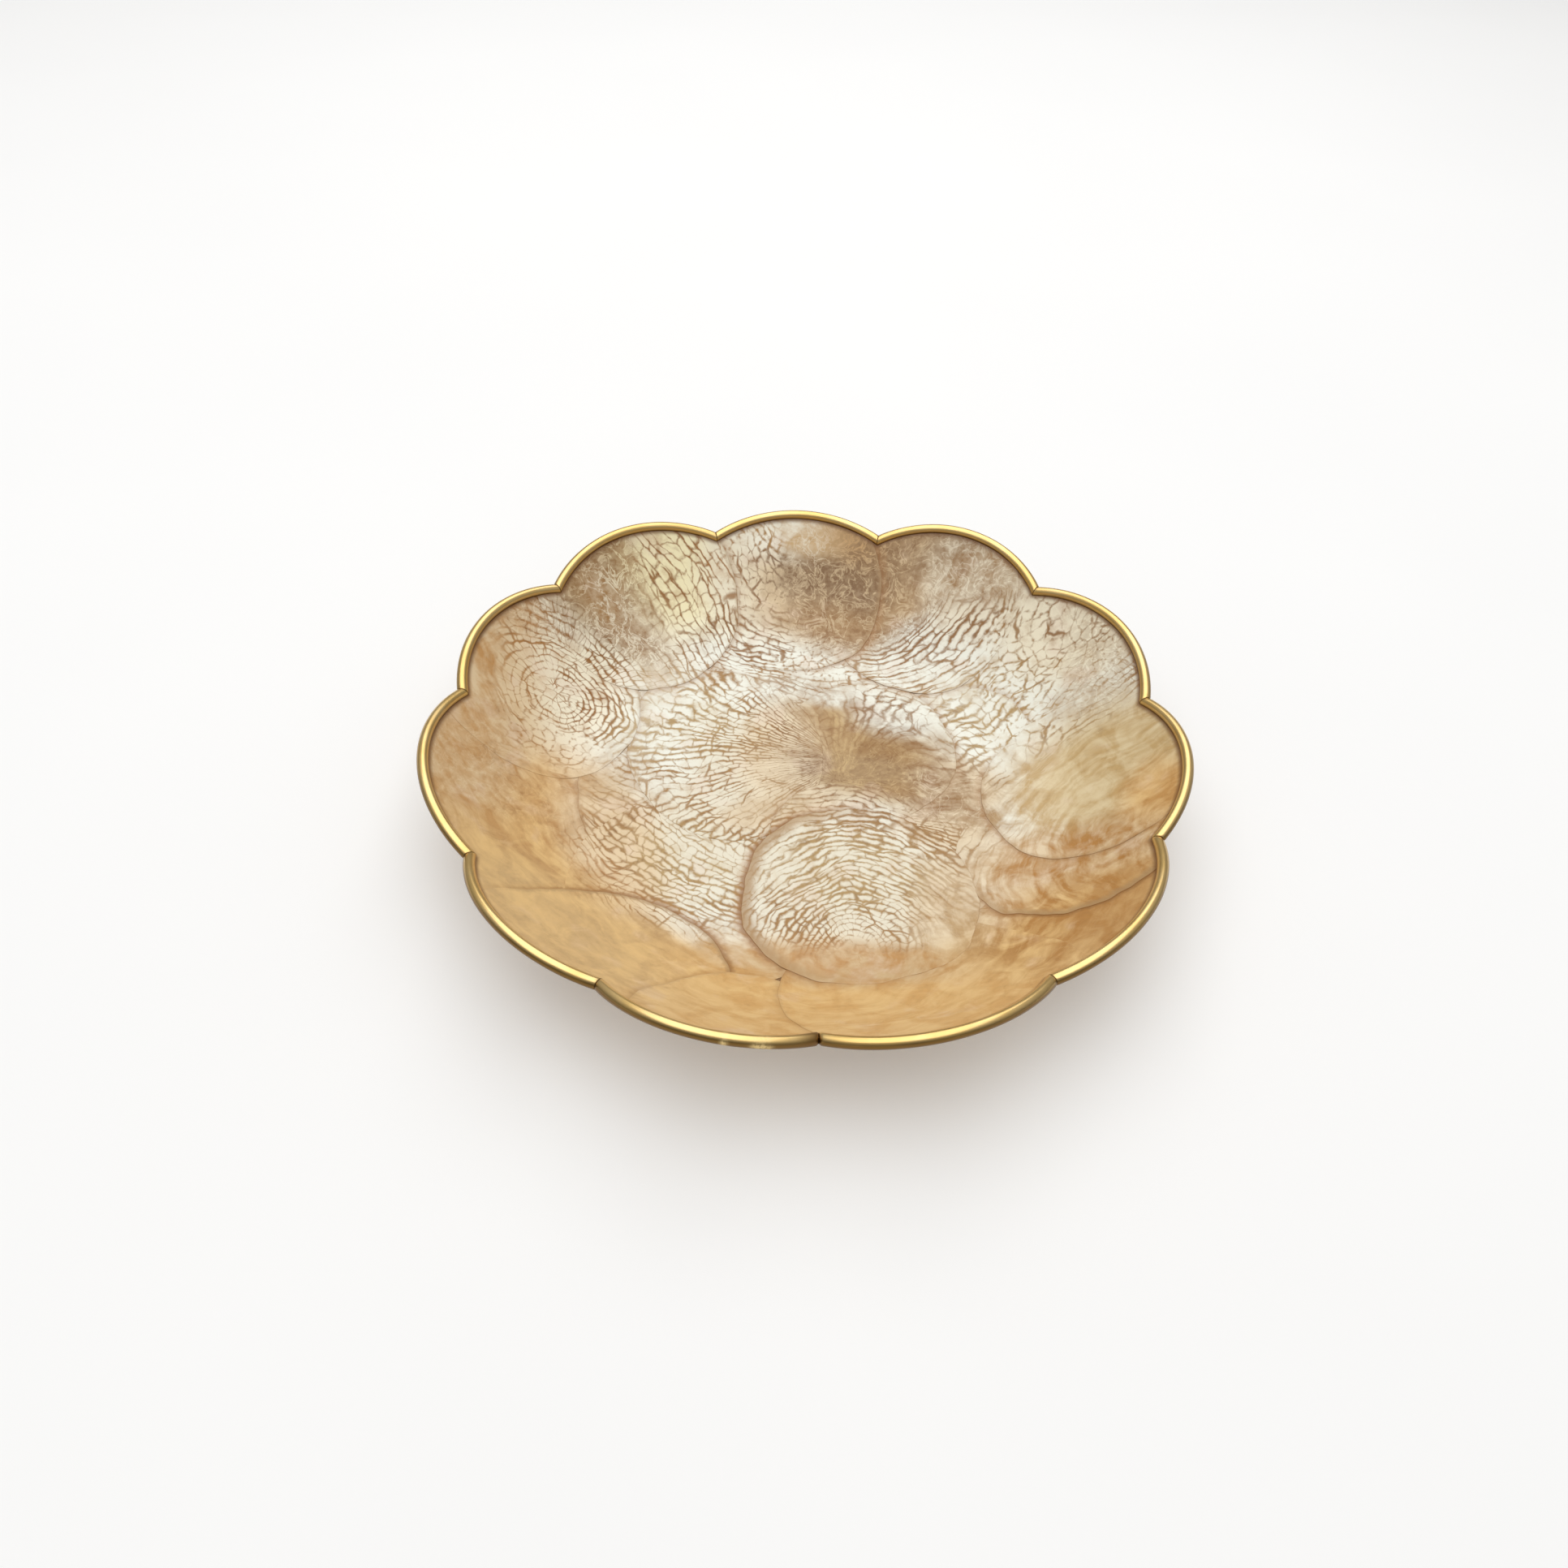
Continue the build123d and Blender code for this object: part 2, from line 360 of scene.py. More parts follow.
def drape(discs):
    """How high each disc lies above the resin, on the one-millimetre grid.

    From the lowest up, each rests on the highest of what is under it within two cells,
    eased twice so that it bends over the edges below, and never cuts into them."""
    pile = np.full(GRID_PLAN.shape[:2], BED_SWELL)
    lifts = {}
    for disc in reversed(discs):
        rest = spread(pile, 2, np.max)
        rest = spread(spread(rest, 2, np.mean), 1, np.mean)
        rest = np.maximum(rest, pile)
        lifts[disc.name] = rest
        pile = np.where(disc.inset(GRID_PLAN) > -1, rest + DISC_THICKNESS, pile)
    return lifts


def sample(grid, plan):
    """The grid's value at plan points, between its cells."""
    place = np.clip(np.asarray(plan) + GRID_REACH, 0, 2 * GRID_REACH - 1e-6)
    cell = place.astype(int)
    fx, fy = (place - cell).T
    i, j = cell.T
    return (grid[i, j] * (1 - fx) * (1 - fy) + grid[i + 1, j] * fx * (1 - fy)
            + grid[i, j + 1] * (1 - fx) * fy + grid[i + 1, j + 1] * fx * fy)


# ---------------------------------------------------------------- what each place of the lining looks like
def linear(red, green, blue):
    """A colour given as 0-255 screen values, made linear."""
    return tuple(((v / 255 + 0.055) / 1.055) ** 2.4 if v > 10 else v / 3294.6
                 for v in (red, green, blue))


WHITE = linear(242, 242, 231)
# Painted highlight: whitens the far wall's top by the rim, where it lies in shade
PAINTED_RIM_HIGHLIGHT = linear(254, 250, 234)
PEARL = linear(245, 236, 212)
MILK = linear(233, 226, 206)
IVORY = linear(239, 229, 206)
CREAM = linear(231, 213, 182)
STRAW = linear(252, 242, 200)
BUFF = linear(227, 203, 165)
FAWN = linear(215, 187, 145)
TAN = linear(232, 194, 133)
TAN_DEEP = linear(221, 181, 124)
DRAB = linear(205, 178, 138)
AMBER = linear(206, 163, 105)
AMBER_DEEP = linear(188, 141, 80)
CLAY = linear(201, 160, 109)
CLAY_DEEP = linear(178, 136, 78)
OAT = linear(212, 198, 170)
SAND = linear(194, 166, 125)
DUN = linear(172, 138, 94)
OLIVE = linear(158, 121, 72)
GILT = linear(152, 112, 52)
KHAKI = linear(202, 170, 116)
LINEN = linear(227, 208, 168)
SHEAF = linear(204, 180, 136)
BRONZE = linear(146, 116, 78)
UMBER = linear(150, 119, 82)
UMBER_DEEP = linear(136, 106, 71)

# The gloss over the lacquer whitens what lies beneath, so both are set a little deeper
SHELL_CAST = np.array([0.97, 0.97, 0.95])
RESIN_CAST = np.array([0.92, 0.83, 0.66])

# Soft patches in plan: x, y, half width, half height, turn, then what they give
PALE_BASE = WHITE
PALE_PATCHES = [  # the shell's light tone, partly painted sheen where it is whitest
    (-36, -12, 46, 52, 0, MILK), (30, -60, 44, 44, 0, MILK), (-70, 20, 24, 30, 0, WHITE),
    (-136, 35, 20, 56, 0, CREAM), (-106, 42, 22, 28, 0, PEARL), (-96, 92, 36, 26, -35, PEARL),
    (-106, 100, 24, 22, 45, DRAB), (-86, 88, 20, 14, -20, IVORY), (-68, 113, 28, 24, 0, STRAW),
    # The patch at -14, 141 is a painted highlight on the far wall's top, where it lies in shade
    (-34, 124, 22, 30, 0, PEARL), (-6, 118, 26, 22, 0, BUFF), (-14, 141, 40, 11, 0, PAINTED_RIM_HIGHLIGHT),
    (18, 116, 26, 26, 0, DRAB), (34, 138, 34, 12, -10, AMBER), (52, 120, 30, 18, -20, FAWN),
    (58, 98, 30, 12, 25, WHITE), (72, 116, 24, 22, -40, IVORY),
    (112, 84, 34, 22, -45, PEARL), (18, 30, 36, 32, 0, KHAKI), (42, 12, 30, 16, -10, KHAKI),
    (42, 50, 22, 14, 0, WHITE), (14, 62, 20, 9, 0, WHITE), (66, 8, 20, 16, -20, CREAM),
    (-12, 20, 18, 30, 0, CREAM), (-10, -12, 26, 10, 20, CREAM), (60, -14, 20, 14, -20, CREAM),
    (124, 6, 34, 34, 0, LINEN), (140, -28, 14, 26, 0, TAN), (-112, -40, 44, 50, 20, TAN),
    (-137, 0, 22, 64, 0, BUFF), (-76, -40, 18, 40, 30, BUFF), (90, -38, 26, 20, 0, CREAM),
    (114, -48, 30, 26, 0, BUFF), (60, -60, 16, 30, 0, CREAM), (0, -128, 160, 42, 0, TAN),
    (-90, -96, 60, 34, -30, TAN), (-50, -93, 22, 11, -35, TAN), (20, -90, 44, 12, 0, FAWN),
    (100, -84, 40, 30, 30, TAN), (118, -78, 18, 26, -40, AMBER),
]
GROUND_BASE = SAND
GROUND_PATCHES = [  # the resin and the cracks between
    (-62, 38, 30, 26, 0, OAT), (18, -42, 34, 22, 0, OAT), (78, 50, 24, 28, 0, OAT),
    (-45, -45, 26, 20, -30, OAT), (-108, 44, 24, 28, 0, CLAY_DEEP), (-134, 30, 22, 60, 0, CLAY),
    (-100, 100, 34, 30, -35, BRONZE), (-66, 113, 26, 22, 0, CLAY_DEEP), (-88, 86, 22, 14, -20, DUN),
    (-34, 124, 22, 26, 0, CLAY), (6, 124, 40, 30, 0, UMBER_DEEP), (-14, 141, 40, 9, 0, FAWN),
    (50, 136, 24, 12, -15, OLIVE), (-36, 88, 24, 12, 10, DUN),
    (-10, 100, 44, 14, 0, DUN), (54, 130, 44, 18, -20, UMBER), (60, 104, 34, 20, 25, DUN),
    (112, 90, 28, 16, -45, DUN), (26, 26, 36, 34, 0, GILT), (58, 6, 28, 18, -20, GILT),
    (-2, 50, 18, 26, 30, DUN), (20, 14, 26, 9, 0, UMBER), (122, 2, 36, 34, 0, SHEAF),
    (138, -20, 12, 20, 0, AMBER), (-124, -30, 34, 56, 0, CLAY), (-132, -16, 16, 26, 0, CLAY),
    (-88, -62, 30, 20, -30, CLAY), (110, -44, 34, 24, 0, AMBER_DEEP),
    (0, -126, 160, 40, 0, TAN_DEEP), (-92, -98, 56, 32, -30, FAWN), (110, -80, 36, 34, 0, AMBER_DEEP),
    (22, -90, 40, 12, 0, CLAY),
]
PEARL_AND_SHEEN_PATCHES = [  # where the cells stand out, rather than plain streaky shell: the shell's own cells, partly painted sheen
    (6, 17, 92, 84, 0, 1.0), (-10, 92, 100, 30, 0, 1.0), (-107, 43, 34, 46, 0, 1.0),
    (110, 66, 42, 50, 0, 1.0), (12, -48, 54, 46, 0, 1.0), (-50, -46, 46, 34, -35, 1.0),
    (-62, 115, 30, 24, 30, 1.0), (-116, -18, 24, 26, 20, 0.3), (-34, 122, 20, 26, 0, 1.0),
    (60, 100, 40, 30, 20, 1.0),
]
DULL_PATCHES = [  # where resin clouds the shell and the cells are lost
    (30, 26, 32, 24, 8, 0.9), (8, 44, 16, 26, 0, 0.8), (60, 3, 28, 16, -25, 0.85),
    (-10, 14, 14, 20, 40, 0.5), (56, -64, 12, 26, 10, 0.5), (22, -92, 56, 12, 0, 0.8),
    (-50, -93, 22, 11, -35, 1.0), (22, 124, 34, 26, 0, 1.0), (62, 128, 44, 16, -25, 0.9),
    (-5, 104, 30, 7, 0, 0.5), (-82, 92, 18, 12, -20, 0.6), (-104, 98, 18, 24, 40, 0.8),
    (-14, -10, 18, 9, 20, 0.5), (122, 2, 34, 30, 0, 0.85), (118, 44, 16, 9, -15, 0.6),
    (98, -30, 30, 12, 20, 0.5), (-140, 20, 10, 30, 0, 0.5), (-8, 62, 18, 12, -20, 0.5),
]
DARK_PATCHES = [  # where dark resin is mottled
    (16, 120, 30, 28, 0, 1.0), (58, 130, 44, 16, -25, 0.5), (-106, 100, 22, 24, 40, 0.9),
    (-92, 80, 24, 10, -15, 0.8), (42, 8, 26, 10, -15, 0.5), (26, 18, 24, 12, 8, 0.4),
    (40, 106, 26, 10, 30, 0.5), (-134, -20, 14, 26, 0, 0.3), (-112, -30, 16, 16, 0, 0.3),
    (-120, 70, 24, 12, 30, 0.4), (112, 104, 34, 12, -45, 0.25), (126, 60, 14, 26, 0, 0.35),
    (60, -4, 20, 12, -20, 0.4),
]
BLOCK_PATCHES = [  # where the cells are many-sided instead of lying in rows
    (108, 78, 30, 24, -20, 0.8), (-30, 122, 16, 16, 0, 0.8),
    (98, 30, 16, 16, 0, 0.8), (-106, 6, 26, 14, 0, 0.7), (0, 82, 18, 10, 0, 0.7),
]


PATCH_END = 1.45  # a patch is gone this many half sizes from its middle
PATCH_FADE = 0.9  # and grows to full strength over this many


def patch_share(plan, x, y, half_width, half_height, turn):
    """How far each plan point lies in a soft patch, 0 to 1."""
    away = plan - [x, y]
    cos, sin = math.cos(math.radians(turn)), math.sin(math.radians(turn))
    across = (away[:, 0] * cos + away[:, 1] * sin) / half_width
    up = (away[:, 1] * cos - away[:, 0] * sin) / half_height
    share = np.clip(PATCH_END - np.hypot(across, up), 0, PATCH_FADE) / PATCH_FADE
    return share * share * (3 - 2 * share)


def patches(plan, table):
    """The strongest of the soft patches at each plan point."""
    total = np.zeros(len(plan))
    for *shape, amount in table:
        total = np.maximum(total, amount * patch_share(plan, *shape))
    return total


def tones(plan, base, table):
    """The colour at each plan point, the patches laid over the base in turn."""
    colour = np.tile(np.array(base), (len(plan), 1))
    for *shape, tone in table:
        share = patch_share(plan, *shape)[:, None]
        colour = colour * (1 - share) + np.array(tone) * share
    return colour


# ---------------------------------------------------------------- meshes
def new_object(name, data):
    """An object in the scene that holds this data."""
    made = bpy.data.objects.new(name, data)
    bpy.context.scene.collection.objects.link(made)
    return made


def make_piece(name, points, faces, material, node):
    """A mesh piece from points in millimetres, standing for a CAD node."""
    mesh = bpy.data.meshes.new(name)
    mesh.from_pydata((np.asarray(points) * MM).tolist(), [], faces)
    mesh.validate()
    mesh.update()
    mesh.polygons.foreach_set("use_smooth", [True] * len(mesh.polygons))
    piece = new_object(name, mesh)
    mesh.materials.append(material)
    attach(piece, "root")
    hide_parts(node)
    return piece


def ring_faces(rings, around_count, closed_loop=False):
    """Quads between successive rings of points."""
    faces = []
    last = rings if closed_loop else rings - 1
    for ring in range(last):
        here = ring * around_count
        there = (ring + 1) % rings * around_count
        for k in range(around_count):
            j = (k + 1) % around_count
            faces.append((here + k, here + j, there + j, there + k))
    return faces


def capped_faces(rings, around_count):
    """Quads between rings, closed by fans round the two centre points that follow them."""
    faces = [face[::-1] for face in ring_faces(rings, around_count)]
    first_centre = rings * around_count
    last = (rings - 1) * around_count
    for k in range(around_count):
        j = (k + 1) % around_count
        faces.append((k, j, first_centre))
        faces.append((last + j, last + k, first_centre + 1))
    return faces


def add_values(mesh, name, values):
    """Stores one number per vertex for the material to read."""
    layer = mesh.attributes.new(name, "FLOAT", "POINT")
    layer.data.foreach_set("value", np.asarray(values, np.float32))


def add_tones(mesh, name, colours):
    """Stores one colour per vertex for the material to read."""
    layer = mesh.attributes.new(name, "FLOAT_COLOR", "POINT")
    layer.data.foreach_set("color", np.column_stack([colours, np.ones(len(colours))]).ravel())


def shell_piece(disc, lift, covers, material):
    """One whole shell disc: rounded edge, draped over the discs below."""
    angle = np.linspace(0, 2 * math.pi, DISC_SPOKES, endpoint=False)
    reach = np.minimum(disc.reach(angle), disc.rim_reach(angle) - RIM_CLEARANCE)
    ray = np.stack([np.cos(angle), np.sin(angle)], -1)
    rings, drops = [], []
    for share in np.linspace(0, 1, FACE_RINGS + 2)[1:-1]:
        rings.append(share * (reach - FACE_INSET))
        drops.append(0.0)
    for step, drop in EDGE_PROFILE:
        rings.append(reach - step)
        drops.append(drop)
    top_rings = len(rings)
    rings += [reach, reach - UNDERCUT]
    drops += [DISC_THICKNESS - UNDERCUT_DROP, DISC_THICKNESS]
    for share in np.linspace(1, 0, UNDERSIDE_RINGS + 2)[1:-1]:
        rings.append(share * (reach - UNDERCUT))
        drops.append(DISC_THICKNESS)
    plan = np.concatenate([disc.centre + r[:, None] * ray for r in rings]
                          + [disc.centre[None], disc.centre[None]])
    drop = np.concatenate([np.repeat(drops, DISC_SPOKES), [0.0, DISC_THICKNESS]])
    height = sample(lift, plan) + DISC_THICKNESS - drop - SHELL_THICKNESS
    points, normals = face_points(plan)
    points += normals * height[:, None]

    faces = capped_faces(len(rings), DISC_SPOKES)
    piece = make_piece(disc.name.replace("shell", "shell_disc"), points, faces, material,
                       disc.name)
    smooth = np.ones(len(faces), bool)  # all but the side and the underside
    smooth[(top_rings - 1) * DISC_SPOKES:(len(rings) - 1) * DISC_SPOKES] = False
    piece.data.polygons.foreach_set("use_smooth", smooth)
    paint_disc(piece.data, disc, plan, covers)
    return piece


# What the shell's material reads. Distances are told up to FAR; the rest are shares.
FAR = 9.0
BARE_SEAM = 0.3  # how brown a seam is where no disc lies near
HINGE_CLOUD = (27, 16, 0.7)  # round the hinge of a disc of rays: outer reach, fade, strength
CENTRE_BLOCKS = (11, 6)  # many-sided cells round the centre of growth: outer reach, fade
LEAST_GROWTH = 28.0  # the shortest radius that cells are measured along
CENTRED_GROWTH = 20  # nearer than this, a disc's growth has no side of its own


def paint_disc(mesh, disc, plan, covers):
    """Where each point lies on its disc and in the bowl."""
    cover = np.full(len(plan), FAR)
    line = np.full(len(plan), BARE_SEAM)
    for other in covers:
        outside = -other.inset(plan)
        line = np.where(outside < cover, other.edge_line(plan), line)
        cover = np.minimum(cover, outside)
    growth_distance = np.hypot(*(plan - disc.growth).T)
    reach, fade, strength = HINGE_CLOUD
    clouded = strength * np.clip((reach - growth_distance) / fade, 0, 1) * (disc.grain == "ray")
    reach, fade = CENTRE_BLOCKS
    blocked = np.clip((reach - growth_distance) / fade, 0, 1)
    for name, values in {
        "edge_mm": np.clip(disc.inset(plan), -1, FAR),
        "cover_mm": np.clip(cover, -3, FAR),
        "cover_line": line,
        "edge_line": disc.edge_line(plan),
        "rim_mm": rim_distance(plan),
        "pearl": patches(plan, PEARL_AND_SHEEN_PATCHES),
        "dull": np.maximum(patches(plan, DULL_PATCHES), clouded),
        "dark": patches(plan, DARK_PATCHES),
        "block": np.maximum(patches(plan, BLOCK_PATCHES), blocked),
    }.items():
        add_values(mesh, name, values)
    add_tones(mesh, "pale", tones(plan, PALE_BASE, PALE_PATCHES) * SHELL_CAST)
    add_tones(mesh, "ground", tones(plan, GROUND_BASE, GROUND_PATCHES) * RESIN_CAST)
    map_growth(mesh, disc, plan)


def map_growth(mesh, disc, plan):
    """Coordinates along the disc's rows of cells and across them, in mm, as a UV map."""
    away = plan - disc.growth
    toward = disc.centre - disc.growth
    inward = toward if np.hypot(*toward) > CENTRED_GROWTH else -disc.growth
    base = math.atan2(inward[1], inward[0])
    angle = (np.arctan2(away[:, 1], away[:, 0]) - base + math.pi) % (2 * math.pi) - math.pi
    ring = np.hypot(away[:, 0], away[:, 1])
    typical = max(np.hypot(*toward), LEAST_GROWTH)
    corners = np.empty(len(mesh.loops), np.int32)
    mesh.loops.foreach_get("vertex_index", corners)
    around_mm = angle[corners] * typical
    starts = np.empty(len(mesh.polygons), np.int32)
    counts = np.empty(len(mesh.polygons), np.int32)
    mesh.polygons.foreach_get("loop_start", starts)
    mesh.polygons.foreach_get("loop_total", counts)
    widest = np.maximum.reduceat(around_mm, starts) - np.minimum.reduceat(around_mm, starts)
    across_seam = np.repeat(widest > math.pi * typical, counts)
    around_mm[across_seam & (around_mm < 0)] += 2 * math.pi * typical
    rows = [around_mm, ring[corners]] if disc.grain == "ring" else [ring[corners], around_mm]
    mesh.uv_layers.new(name="growth").data.foreach_set("uv", np.column_stack(rows).ravel())


DISH_SPOKES = 28  # to a lobe
DISH_FLOOR_SHARES = [0.06, 0.2, 0.4, 0.6, 0.8, 0.92]
DISH_WALL_RINGS = 34


def dish_layer(name, top, bottom, material, node):
    """The lobed solid between two depths below the shell's face."""
    rings = [wall_ring(0.0) * [share, share, 1] for share in DISH_FLOOR_SHARES]
    rings += [wall_ring(share) for share in np.linspace(0, 1, DISH_WALL_RINGS)]
    upper = [ring - [0, 0, top] for ring in rings]
    lower = [ring - [0, 0, bottom] for ring in rings]
    points = np.concatenate(upper + lower[::-1]
                            + [[[0, 0, FLOOR_Z - top]], [[0, 0, FLOOR_Z - bottom]]])
    faces = capped_faces(2 * len(rings), DISH_SPOKES * LOBE_COUNT)
    return make_piece(name, points, faces, material, node)


def wall_ring(share):
    """Points round the wall at this share of the way from floor to rim."""
    across = bernstein(np.linspace(0, 1, DISH_SPOKES, endpoint=False))
    up = bernstein(np.array(share))
    return np.concatenate([np.einsum("a,nb,abk->nk", up, across, poles) for poles in WALLS])


FOOT_SPOKES = 240
FOOT_EDGE_STEPS = 6


def foot_piece(material):
    """The foot ring, turned, with its lower edges eased."""
    inner, outer = FOOT_RADIUS - FOOT_WALL, FOOT_RADIUS
    turns = [math.pi / 2 * step / FOOT_EDGE_STEPS for step in range(FOOT_EDGE_STEPS + 1)]
    edge = [(FOOT_EDGE * (1 - math.cos(turn)), FOOT_EDGE * (1 - math.sin(turn))) for turn in turns]
    profile = [(inner, FOOT_HEIGHT), (inner, FOOT_HEIGHT / 2)]
    profile += [(inner + inset, z) for inset, z in edge]
    profile += [(outer - inset, z) for inset, z in reversed(edge)]
    profile += [(outer, FOOT_HEIGHT / 2), (outer, FOOT_HEIGHT)]
    angle = np.linspace(0, 2 * math.pi, FOOT_SPOKES, endpoint=False)
    points = np.concatenate([
        np.column_stack([r * np.cos(angle), r * np.sin(angle), np.full(FOOT_SPOKES, z)])
        for r, z in profile])
    faces = ring_faces(len(profile), FOOT_SPOKES, closed_loop=True)
    return make_piece("foot", points, faces, material, "foot_ring")


def bead_piece(lobe, material):
    """One lobe's length of bead, mitred at both cusps, its ends eased into the joint."""
    arc = rim_arc(lobe)
    length = arc.radius * arc.angle
    start, end = lobe_span(lobe)
    turn = np.linspace(0, 2 * math.pi, BEAD_SIDES, endpoint=False)
    cos, sin = np.cos(turn)[:, None], np.sin(turn)[:, None]
    phases = np.random.default_rng(BEAD_SEED + lobe).uniform(0, 2 * math.pi, len(BEAD_RIPPLES))
    shares = np.concatenate([BEAD_END_SHARES, np.linspace(BEAD_END, 1 - BEAD_END, BEAD_RINGS),
                             [1 - share for share in reversed(BEAD_END_SHARES)]])
    first = mitre_angles(arc, turn, start, 0.0)
    final = mitre_angles(arc, turn, end, arc.angle)
    rings, painted_shade_facings = [], []
    for share in shares:
        out = arc.outward(first + (final - first) * share)
        facing = out * cos + arc.normal * sin
        outward = facing @ around(math.degrees(math.atan2(out[0, 1], out[0, 0])), 1, 0)
        # How far each point faces up and inward: the less, the more painted shade it gets
        painted_shade_facings.append(facing[:, 2] - BEAD_OUTER_SHADE * outward)
        size = BEAD_RADIUS * (1 + sum(depth * math.sin(often * share + phase)
                                      for (often, depth), phase in zip(BEAD_RIPPLES, phases)))
        for joint, distance in ((lobe, length * share), (lobe + 1, length * (1 - share))):
            gap = OPEN_JOINTS.get(joint % LOBE_COUNT, DRESSED_JOINT)
            size -= gap * math.exp(-((distance / JOINT_EASE) ** 2))
        rings.append(arc.centre + out * (arc.radius + size * cos) + arc.normal * (size * sin))
    points = np.concatenate(rings + [[rings[0].mean(0)], [rings[-1].mean(0)]])
    faces = capped_faces(len(shares), BEAD_SIDES)
    piece = make_piece(f"bead_{lobe + 1:02d}", points, faces, material,
                       f"rim_segment_{lobe + 1:02d}")
    to_end = np.concatenate([np.repeat(length * (1 - shares), BEAD_SIDES), [length, 0]])
    # Lighter spots beside the front joint, kept to one lobe below
    spot_share = sum(np.exp(-((to_end - middle) / half) ** 4) for middle, half in LIGHT_SPOTS)
    # Painted shade toward the end of the lobe before the front joint, where the bead curves down
    curve_shade = PAINTED_END_SHADE * np.exp(-((to_end / PAINTED_END_SHADE_RUN) ** 2))
    at_joint = lobe == MARKED_LOBE
    for name, values in {
        "end_mm": np.minimum(to_end, length - to_end),
        "upper": np.concatenate(painted_shade_facings + [[0, 0]]),
        "dressed": spot_share * at_joint,
        "tarnish": curve_shade * at_joint,
    }.items():
        add_values(piece.data, name, values)
    return piece


def mitre_angles(arc, turn, azimuth, guess):
    """Where each line along the bead meets the upright plane through a cusp."""
    plane = around(azimuth + 90, 1, 0)
    angle = np.full(len(turn), float(guess))
    for _ in range(MITRE_STEPS):
        out = arc.outward(angle)
        along = np.cross(arc.normal, out)
        place = (arc.centre + out * (arc.radius + BEAD_RADIUS * np.cos(turn))[:, None]
                 + arc.normal * (BEAD_RADIUS * np.sin(turn))[:, None])
        angle = angle - (place @ plane) / (arc.radius * (along @ plane))
    return angle


# ---------------------------------------------------------------- materials
class Shader:
    """A material's node tree, built by short calls."""

    def __init__(self, name):
        self.material = bpy.data.materials.new(name)
        self.material.use_nodes = True
        self.tree = self.material.node_tree
        self.tree.nodes.clear()
        self.output = self.node("OutputMaterial")

    def node(self, kind):
        """A new node."""
        return self.tree.nodes.new("ShaderNode" + kind)

    def put(self, socket, value):
        """Links a socket or sets it to a constant."""
        if value is None:
            return
        if isinstance(value, bpy.types.NodeSocket):
            self.tree.links.new(value, socket)
        elif socket.type == "RGBA" and len(value) == 3:
            socket.default_value = (*value, 1)
        else:
            socket.default_value = value

    def math(self, operation, a, b=None, c=None, clamp=False):
        """One sum on numbers."""
        node = self.node("Math")
        node.operation = operation
        node.use_clamp = clamp
        for socket, value in zip(node.inputs, (a, b, c)):
            self.put(socket, value)
        return node.outputs[0]

    def plus(self, a, b, clamp=False):
        """Two numbers added."""
        return self.math("ADD", a, b, clamp=clamp)

    def minus(self, a, b, clamp=False):
        """One number less another."""
        return self.math("SUBTRACT", a, b, clamp=clamp)

    def times(self, a, b):
        """Two numbers multiplied."""
        return self.math("MULTIPLY", a, b)

    def vector(self, operation, a, b):
        """One sum on vectors."""
        node = self.node("VectorMath")
        node.operation = operation
        self.put(node.inputs[0], a)
        self.put(node.inputs[1], b)
        return node.outputs[0]

    def scaled(self, vector, factors):
        """A vector, each part multiplied."""
        return self.vector("MULTIPLY", vector, factors)

    def split(self, vector):
        """The x and y of a vector."""
        node = self.node("SeparateXYZ")
        self.put(node.inputs[0], vector)
        return node.outputs[0], node.outputs[1]

    def join(self, x, y, z=0.0):
        """A vector from three numbers."""
        node = self.node("CombineXYZ")
        for socket, value in zip(node.inputs, (x, y, z)):
            self.put(socket, value)
        return node.outputs[0]

    def attribute(self, name, output="Fac"):
        """A number stored on the mesh, or a colour."""
        node = self.node("Attribute")
        node.attribute_name = name
        return node.outputs[output]

    def growth(self):
        """The disc's own coordinates: along its rows of cells, and across them, in mm."""
        node = self.node("UVMap")
        node.uv_map = "growth"
        return node.outputs["UV"]

    def place(self):
        """The point in the bowl's frame, in mm."""
        node = self.node("TexCoord")
        return self.vector("MULTIPLY", node.outputs["Object"], (1000, 1000, 1000))

    def noise(self, coordinate, scale, detail=2.0, rough=0.5, warp=0.0, output="Fac"):
        """Soft noise, a number or a colour; scale is per millimetre."""
        node = self.node("TexNoise")
        self.put(node.inputs["Vector"], coordinate)
        for name, number in (("Scale", scale), ("Detail", detail), ("Roughness", rough),
                             ("Distortion", warp)):
            node.inputs[name].default_value = number
        return node.outputs[output]

    def cells(self, coordinate, feature, randomness, dimensions="2D"):
        """Voronoi cells one unit across."""
        node = self.node("TexVoronoi")
        node.feature = feature
        node.voronoi_dimensions = dimensions
        self.put(node.inputs["W" if dimensions == "1D" else "Vector"], coordinate)
        node.inputs["Scale"].default_value = 1.0
        node.inputs["Randomness"].default_value = randomness
        return node.outputs["Distance"]

    def ramp(self, value, low, high, out_low=0.0, out_high=1.0):
        """A number eased from one range to another, held at the ends."""
        node = self.node("MapRange")
        node.interpolation_type = "SMOOTHSTEP"
        node.clamp = True
        self.put(node.inputs[0], value)
        for socket, number in zip(node.inputs[1:5], (low, high, out_low, out_high)):
            self.put(socket, number)
        return node.outputs[0]

    def number_mix(self, share, a, b):
        """Two numbers mixed."""
        return self.math("MULTIPLY_ADD", self.minus(b, a), share, a)

    def mix(self, share, a, b, blend="MIX"):
        """Two colours mixed."""
        node = self.node("Mix")
        node.data_type = "RGBA"
        node.blend_type = blend
        node.clamp_factor = True
        self.put(node.inputs["Factor"], share)
        self.put(node.inputs[6], a)
        self.put(node.inputs[7], b)
        return node.outputs[2]

